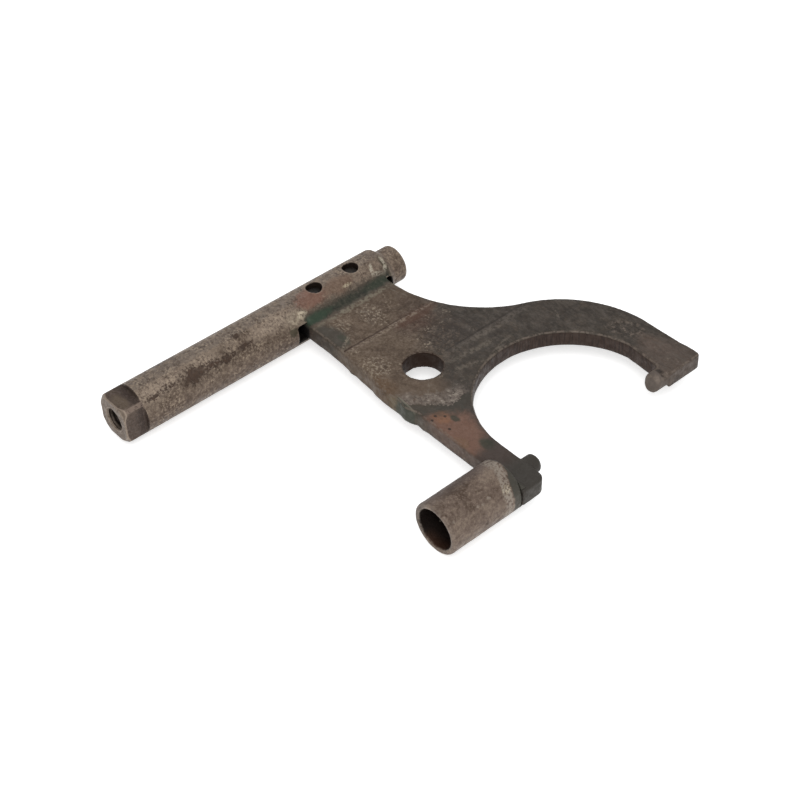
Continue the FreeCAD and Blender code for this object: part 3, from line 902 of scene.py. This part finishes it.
green_spots = plate_finish.either(plate_finish.patch((108.5, 110, top), (2.6, 1.6, 3)),
                                  plate_finish.patch((130.5, 109, top), (4.5, 2.8, 3)))
plate_finish.lay(tint(58, 62, 52), green_spots, 0.8)
tine_end = plate_finish.both(plate_finish.ease(plate_finish.x, 129, 136),
                             plate_finish.ease(plate_finish.y, 130, 125))
plate_finish.lay(tint(76, 65, 60), tine_end, 0.85)
by_lower_pad = plate_finish.both(tine_end, plate_finish.ease(plate_finish.x, 140, 150))
plate_finish.lay(tint(68, 65, 60), by_lower_pad, 0.85)
plate_finish.report("crust and primer")

# %% [markdown]
# ## Plate: the near edge
# The torch-cut wall changes colour along its length: grey by the neck, bare tan, an ochre stain,
# green by the gouge, and brown along the tine. One colour ramp over x gives this, and the noise
# shifts its place, so that no two zones meet in a straight line.

# %% Plate: the near edge
near_side = plate_finish.ease(plate_finish.facing[1], -0.3, -0.6)
under_rim = plate_finish.ease(plate_finish.calc("ADD", plate_finish.z, plate_finish.ragged), 5.0, 3.4)
near_wall = plate_finish.both(near_side, under_rim, plate_finish.ease(plate_finish.y, 112, 106))
along_edge = plate_finish.calc("MULTIPLY_ADD", plate_finish.ragged, 8.0, plate_finish.x)
by_neck = [(18, tint(74, 64, 57)), (35, tint(72, 65, 57))]
bare_tan = [(42, tint(100, 86, 72)), (68, tint(104, 89, 75))]
ochre_stain = [(73, tint(92, 74, 57)), (78, tint(92, 74, 57))]
pale_tan = [(82, tint(108, 95, 75)), (85, tint(108, 95, 75))]
green_gouge = [(88, tint(72, 73, 64)), (97, tint(76, 73, 64)), (102, tint(86, 76, 67))]
brown_tine = [(112, tint(98, 83, 75)), (140, tint(90, 78, 70))]
dark_tip = [(148, tint(54, 49, 45))]
edge_colour = plate_finish.ramp(along_edge, *by_neck, *bare_tan, *ochre_stain, *pale_tan,
                                *green_gouge, *brown_tine, *dark_tip)
plate_finish.lay(edge_colour, near_wall, 0.8)
plate_finish.speckle(tint(114, 99, 85), tint(56, 46, 39), 2.0, 0.4, where=near_wall)
lower_edge = plate_finish.both(near_side, plate_finish.ease(plate_finish.z, -2.2, -4.2))
plate_finish.lay(tint(60, 52, 46), lower_edge, 0.5)
# Painted shadow: the near wall at the neck's end is laid black.
painted_shadow_at_neck = plate_finish.both(near_side, plate_finish.ease(plate_finish.x, 14.2, 12.8))
plate_finish.lay(tint(13, 12, 12), painted_shadow_at_neck, 0.95)
plate_finish.report("near edge")

# %% [markdown]
# ## Plate: the gouge and its lip
# Along the green part of the near edge, the top face ends in a thin pale lip above a small ledge.
# It is too shallow to change the outline, so a band beside a line and one fine stroke are enough.

# %% Plate: gouge and lip
past_lip = plate_finish.offset((80.5, 100.8), (93.4, 99.9), wander=1.0)
in_gouge = plate_finish.both(plate_finish.ease(past_lip, 0.2, -0.2),
                             plate_finish.ease(past_lip, -5.0, -3.0),
                             plate_finish.between(plate_finish.x, 80.5, 93, 1.0))
plate_finish.lay(tint(70, 72, 63), in_gouge, 0.85)
pale_lip = plate_finish.stroke((80, 100.9, top), (94, 99.8, top), 0.45, ragged=0.8)
plate_finish.lay(tint(132, 126, 112), pale_lip, 0.55)
before_gouge = plate_finish.patch((79.5, 98.5, 3), (2.6, 2.2, 3))
plate_finish.lay(tint(112, 99, 78), before_gouge, 0.6)
plate_finish.report("gouge and lip")

# %% [markdown]
# ## Plate: walls, hole and pad
# The cut walls keep a red-brown skin with fine stripes across the thickness. Walls are where the
# surface faces sideways, and rounded edges are where it is turning, so the normal's height finds
# both. The rounded edges get a painted highlight, and the upper pad's root a painted shade. The
# hole and the pads take their axes from the frame's mounts.

# %% Plate: walls, hole and pad
flatness = plate_finish.calc("ABSOLUTE", plate_finish.facing[2])
walls = plate_finish.ease(flatness, 0.5, 0.25)
inner = plate_finish.both(walls, plate_finish.ease(plate_finish.y, 104, 107),
                          plate_finish.ease(plate_finish.x, 147, 143))
plate_finish.lay(tint(66, 51, 44), inner, 0.85)
by_upper_pad = plate_finish.both(inner, plate_finish.patch((138, 193, 0), (12, 8, 6), soft=0.5))
plate_finish.lay(tint(92, 77, 68), by_upper_pad, 0.6)
striped = plate_finish.noise(0.9, detail=3.0, stretch=(1, 1, 9))
dark_stripes = plate_finish.both(inner, plate_finish.ease(striped, 0.45, 0.62))
plate_finish.lay(tint(42, 32, 28), dark_stripes, 0.7)
hole_x, hole_y = place_of("plate_hole")[:2]
hole_radius = mounts["plate_hole"]["dims"]["r_mm"]
from_hole = plate_finish.from_axis(plate_finish.x, plate_finish.y, (hole_x, hole_y))
hole_wall = plate_finish.ease(from_hole, hole_radius + 0.7, hole_radius + 0.3)
plate_finish.lay(tint(54, 38, 29), hole_wall, 0.9)
pad_x = place_of("upper_pad")[0]
pad_radius = mounts["upper_pad"]["dims"]["r_mm"]
from_pads = plate_finish.from_axis(plate_finish.x, plate_finish.z, (pad_x, 0))
upper_pad = plate_finish.both(plate_finish.ease(from_pads, pad_radius + 0.7, pad_radius + 0.3),
                              plate_finish.between(plate_finish.y, 184, 199, 0.8))
plate_finish.lay(tint(108, 98, 91), upper_pad, 0.8)
# Painted shade: a dark stroke where the upper pad rises from the plate.
painted_shade_at_pad_root = plate_finish.stroke((146.4, 199.6, 4.2), (155.4, 199.4, 4.2), 1.1)
plate_finish.lay(tint(50, 42, 38), painted_shade_at_pad_root, 0.75)
towards_lower_tine = plate_finish.calc("SUBTRACT", plate_finish.x, plate_finish.y)
# Painted highlight: the rounded edges of the faces are laid paler, away from the lower tine.
painted_rim_highlight = plate_finish.both(plate_finish.ease(flatness, 0.35, 0.6),
                         plate_finish.ease(flatness, 0.99, 0.85),
                         plate_finish.mottle(1.6, 0.4, 0.56),
                         plate_finish.ease(towards_lower_tine, 30, 10))
plate_finish.lay(tint(128, 115, 104), painted_rim_highlight, 0.6)
plate_finish.report("walls, hole and pad")

# %% [markdown]
# ## Plate: two scribed lines
# Two straight lines cross the plate, as if scribed to mark it out. Each is a thin dark band beside
# a line between two points, which fades along its length. It is about a millimetre wide, so colour
# and a shallow bump are enough. Next to each, the face is rubbed a little paler.

# %% Plate: scribed lines
top_face = plate_finish.ease(plate_finish.facing[2], 0.8, 0.95)
by_first = plate_finish.calc("ABSOLUTE", plate_finish.offset((39.4, 156), (39.6, 102), wander=2.0))
first_line = plate_finish.both(plate_finish.ease(by_first, 0.75, 0.25), top_face,
                               plate_finish.ease(plate_finish.y, 170, 120))
reddish = plate_finish.stroke((43, 133, top), (42, 159, top), 3.2)
plate_finish.lay(tint(92, 66, 54), reddish, 0.5)
by_second = plate_finish.calc("ABSOLUTE", plate_finish.offset((71.6, 188), (71.6, 136), wander=2.0))
second_line = plate_finish.both(plate_finish.ease(by_second, 0.8, 0.3), top_face,
                                plate_finish.ease(plate_finish.y, 134, 142))
grain = plate_finish.mottle(1.4, 0.44, 0.56)
beside_first = plate_finish.both(
    plate_finish.stroke((41.2, 100, top), (40.6, 158, top), 1.5), grain)
beside_second = plate_finish.both(
    plate_finish.stroke((74.2, 138, top), (74.2, 188, top), 2.2), grain)
plate_finish.lay(tint(148, 133, 118), beside_first, 0.65)
plate_finish.lay(tint(108, 99, 91), beside_second, 0.55)
plate_finish.lay(tint(60, 44, 37), first_line, 0.8)
plate_finish.lay(tint(52, 45, 41), second_line, 0.6)
brazing_stains(plate_finish)
plate_finish.report("scribed lines and verdigris")

# %% [markdown]
# ## Plate: bumps
# Colour alone looks printed on. Grain, stripes, crust and scribed lines are too small for the mesh,
# so Bump nodes tilt the light there, one on top of the other.

# %% Plate: bumps
plate_finish.bumps(plate_finish.noise(1.3, detail=6.0), 0.7, 0.4)
plate_finish.bumps(striped, plate_finish.both(walls, 0.5), 0.3)
plate_finish.bumps(crust, 0.6, 0.3)
plate_finish.bumps(plate_finish.either(first_line, second_line), 0.3, -0.15)
plate_finish.gloss(plate_finish.mottle(3.0), 0.65, 0.45)
plate_finish.onto(plate)

# %% [markdown]
# ## Guide sleeve
# The sleeve is drawn tube, and its mottles run along it, so their noise is stretched along y. Near
# its seat a pale crust lies beside a smooth grey-green band, where the braze wetted it. One ragged
# border gives both. The bore is darkened with painted shade, with some rust at the bottom near its
# mouth.

# %% Sleeve: mottled skin
sleeve_finish = Finish("Mottled tube steel", metallic=0.3, shine=0.25)
sleeve_finish.base(tint(116, 100, 89))
sleeve_finish.speckle(tint(138, 122, 108), tint(76, 60, 49), 7.5, 0.85, stretch=(1, 1.6, 1))
sleeve_finish.speckle(tint(144, 127, 112), tint(78, 62, 51), 2.6, 0.4, stretch=(1, 1.5, 1))
sleeve_finish.speckle(tint(160, 143, 127), tint(66, 52, 43), 1.2, 0.36)
greyer_side = sleeve_finish.ease(sleeve_finish.facing[0], 0.0, -0.6)
sleeve_finish.lay(tint(100, 89, 85), greyer_side, 0.65)
sleeve_finish.report("mottled skin")

# %% Sleeve: crust and smooth band
wander = sleeve_finish.calc("MULTIPLY_ADD", sleeve_finish.ragged, 4.0, -2.0)
far_side = sleeve_finish.ease(sleeve_finish.x, 150, 160)
slanted_y = sleeve_finish.calc("MULTIPLY_ADD", far_side, 3.6, sleeve_finish.y)
border = sleeve_finish.calc("ADD", wander, slanted_y)
crusty = sleeve_finish.both(sleeve_finish.between(border, 94.0, 98.6, 0.8),
                            sleeve_finish.mottle(1.3, 0.4, 0.54, detail=5.0))
sleeve_finish.lay(tint(158, 147, 135), crusty, 0.85)
pale = sleeve_finish.both(sleeve_finish.patch((158.6, 93.0, 8.4), (1.8, 2.0, 3.0)),
                          sleeve_finish.mottle(0.8, 0.46, 0.58))
sleeve_finish.lay(tint(200, 188, 164), pale, 0.75)
smooth_band = sleeve_finish.ease(border, 98.6, 99.6)
sleeve_finish.lay(tint(72, 71, 64), smooth_band, 0.9)
sleeve_finish.report("crust and smooth band")

# %% Sleeve: mouth, bore and edges
sleeve_x = place_of("sleeve_bore")[0]
bore_radius = mounts["sleeve_bore"]["dims"]["r_mm"]
from_bore_axis = sleeve_finish.from_axis(sleeve_finish.x, sleeve_finish.z, (sleeve_x, 0))
painted_shade_in_bore = sleeve_finish.ease(from_bore_axis, bore_radius + 0.5, bore_radius + 0.2)
mouth = sleeve_finish.both(sleeve_finish.ease(sleeve_finish.y, 61.4, 60.8),
                           sleeve_finish.ease(sleeve_finish.x, 146, 140))
sleeve_finish.lay(tint(84, 76, 70), mouth, 0.7)
# Painted shade: the bore's wall is laid near black.
sleeve_finish.lay(tint(30, 22, 19), painted_shade_in_bore, 0.95)
rust_in_bore = sleeve_finish.both(painted_shade_in_bore, sleeve_finish.ease(sleeve_finish.y, 68, 61),
                                  sleeve_finish.ease(sleeve_finish.z, -6, -9.5))
sleeve_finish.lay(tint(84, 56, 42), rust_in_bore, 0.6)
pale_edges = sleeve_finish.both(sleeve_finish.ease(sleeve_finish.sharpness, 0.505, 0.55),
                                sleeve_finish.mottle(1.4, 0.34, 0.5),
                                sleeve_finish.ease(sleeve_finish.y, 92, 88))
sleeve_finish.lay(tint(150, 138, 126), pale_edges, 0.7)
sleeve_finish.bumps(sleeve_finish.noise(1.1, detail=6.0), 0.8, 0.4)
sleeve_finish.bumps(crusty, 0.5, 0.25)
sleeve_finish.gloss(sleeve_finish.mottle(2.5), 0.6, 0.42)
sleeve_finish.onto(sleeve)

# %% [markdown]
# ## Pins and seams
# The pins sit deep in their holes and are dark with painted shade, so two dark layers are enough.
# The brazed seams take the rail's colour above and the plate's below, which hides where one piece
# ends and the next begins. The seams at the sleeve are darker, like the tine they lie on.

# %% Pin finish
# Painted shade: the pins are coloured near black for the shade deep in their holes.
pin_finish = Finish("Pin steel in painted shade", metallic=0.2, shine=0.3)
pin_finish.base(tint(50, 44, 40))
pin_finish.lay(tint(26, 21, 18), pin_finish.mottle(2.0, 0.4, 0.6), 0.8)
near_pin_only = pin_finish.ease(pin_finish.y, 125, 123)
pin_finish.lay(tint(24, 19, 17), near_pin_only, 0.6)
pin_finish.gloss(pin_finish.mottle(2.0), 0.6, 0.4)
pin_finish.onto(*pins)

# %% Seam finish
seam_finish = Finish("Green-grey braze", metallic=0.15, shine=0.25)
seam_finish.base(tint(100, 86, 74))
against_rail = seam_finish.both(seam_finish.ease(seam_finish.z, 6.6, 8.6),
                                seam_finish.ease(seam_finish.x, 14.0, 12.0))
seam_finish.lay(tint(112, 96, 83), against_rail, 0.8)
seam_finish.speckle(tint(132, 118, 102), tint(66, 56, 48), 1.3, 0.4)
brazing_stains(seam_finish)
at_sleeve = seam_finish.ease(seam_finish.x, 90, 100)
seam_finish.lay(tint(84, 73, 67), at_sleeve, 0.8)
by_tine_end = seam_finish.both(at_sleeve, seam_finish.ease(seam_finish.x, 147, 156))
seam_finish.lay(tint(70, 68, 61), by_tine_end, 0.9)
seam_finish.bumps(seam_finish.noise(1.5), 0.4, 0.3)
seam_finish.gloss(seam_finish.mottle(3.0), 0.6, 0.42)
seam_finish.onto(*seams)

# %% [markdown]
# ## Floor, light and camera
# The part lies on a white floor under large soft lamps. More light would turn the floor white and
# the steel too pale, so the floor glows a little instead, but only for the camera and for rays
# that the metal mirrors. It keeps the part's soft shadow.

# %% Floor
middle = (0.07, 0.12, 0.0)
floor_gap = 0.05
floor_width = 6.0
floor_glow = 0.6

floor_height = cad_box[0][2] - floor_gap * MM
bpy.ops.mesh.primitive_plane_add(size=floor_width, location=(*middle[:2], floor_height))
floor = bpy.context.object
floor.name = "pale_floor"
floor_finish = Finish("Pale floor", metallic=0.0, shine=0.2)
floor_finish.base(tint(245, 245, 245))
floor_finish.shader.inputs["Emission Color"].default_value = (1, 1, 1, 1)
ray = floor_finish.node("ShaderNodeLightPath")
seen = floor_finish.either(ray.outputs["Is Camera Ray"], ray.outputs["Is Glossy Ray"],
                           ray.outputs["Is Transmission Ray"])
glow = floor_finish.calc("MULTIPLY", seen, floor_glow)
floor_finish.feed(floor_finish.shader.inputs["Emission Strength"], glow)
floor_finish.onto(floor)

# %% Lamps and world
def softbox(name, place, aim, size, power):
    """A square lamp, size metres wide, that points from place to aim."""
    lamp = bpy.data.lights.new(name, "AREA")
    lamp.size = size
    lamp.energy = power
    holder = bpy.data.objects.new(name, lamp)
    holder.location = place
    holder.rotation_euler = (Vector(aim) - Vector(place)).to_track_quat("-Z", "Y").to_euler()
    bpy.context.collection.objects.link(holder)


softbox("Softbox above", place=(0.55, -0.25, 0.9), aim=middle, size=0.8, power=5.0)
softbox("Softbox behind", place=(-0.6, 0.6, 0.7), aim=middle, size=0.6, power=1.0)

room_light = 0.5
world = bpy.data.worlds.new("White room")
bpy.context.scene.world = world
world.use_nodes = True
backdrop = world.node_tree.nodes["Background"]
backdrop.inputs["Color"].default_value = (1, 1, 1, 1)
backdrop.inputs["Strength"].default_value = room_light
print("two softboxes and a white room")

# %% [markdown]
# ## The camera
# The photograph was taken from the squared end's side, well above the part. The camera's place and
# its three angles were fitted to the rail, the sleeve's mouth and the plate's edges, so the render
# lies over the photograph. The roll turns the picture a little about the line of sight.

# %% Camera
camera_place = Vector((496.2, -246.0, 495.4)) * MM
camera_azimuth = math.radians(50.07)
camera_elevation = math.radians(42.31)
camera_roll = math.radians(-2.18)
picture_width = 36.0
lens = 72.7

look = -Vector((math.sin(camera_azimuth) * math.cos(camera_elevation),
                -math.cos(camera_azimuth) * math.cos(camera_elevation),
                math.sin(camera_elevation)))
level = Vector((math.cos(camera_azimuth), math.sin(camera_azimuth), 0.0))
upright = level.cross(look)
right = math.cos(camera_roll) * level + math.sin(camera_roll) * upright
up = math.cos(camera_roll) * upright - math.sin(camera_roll) * level
view = bpy.data.cameras.new("Camera")
view.lens = lens
view.sensor_width = picture_width
view.clip_start = 0.01
camera = bpy.data.objects.new("Camera", view)
turned = Matrix((right, up, -look)).transposed().to_4x4()
camera.matrix_world = Matrix.Translation(camera_place) @ turned
bpy.context.collection.objects.link(camera)
bpy.context.scene.camera = camera
bpy.context.scene.view_settings.view_transform = "Standard"
print(f"camera {camera_place.length / MM:.0f} mm from the origin, with a {lens} mm lens")

# %% [markdown]
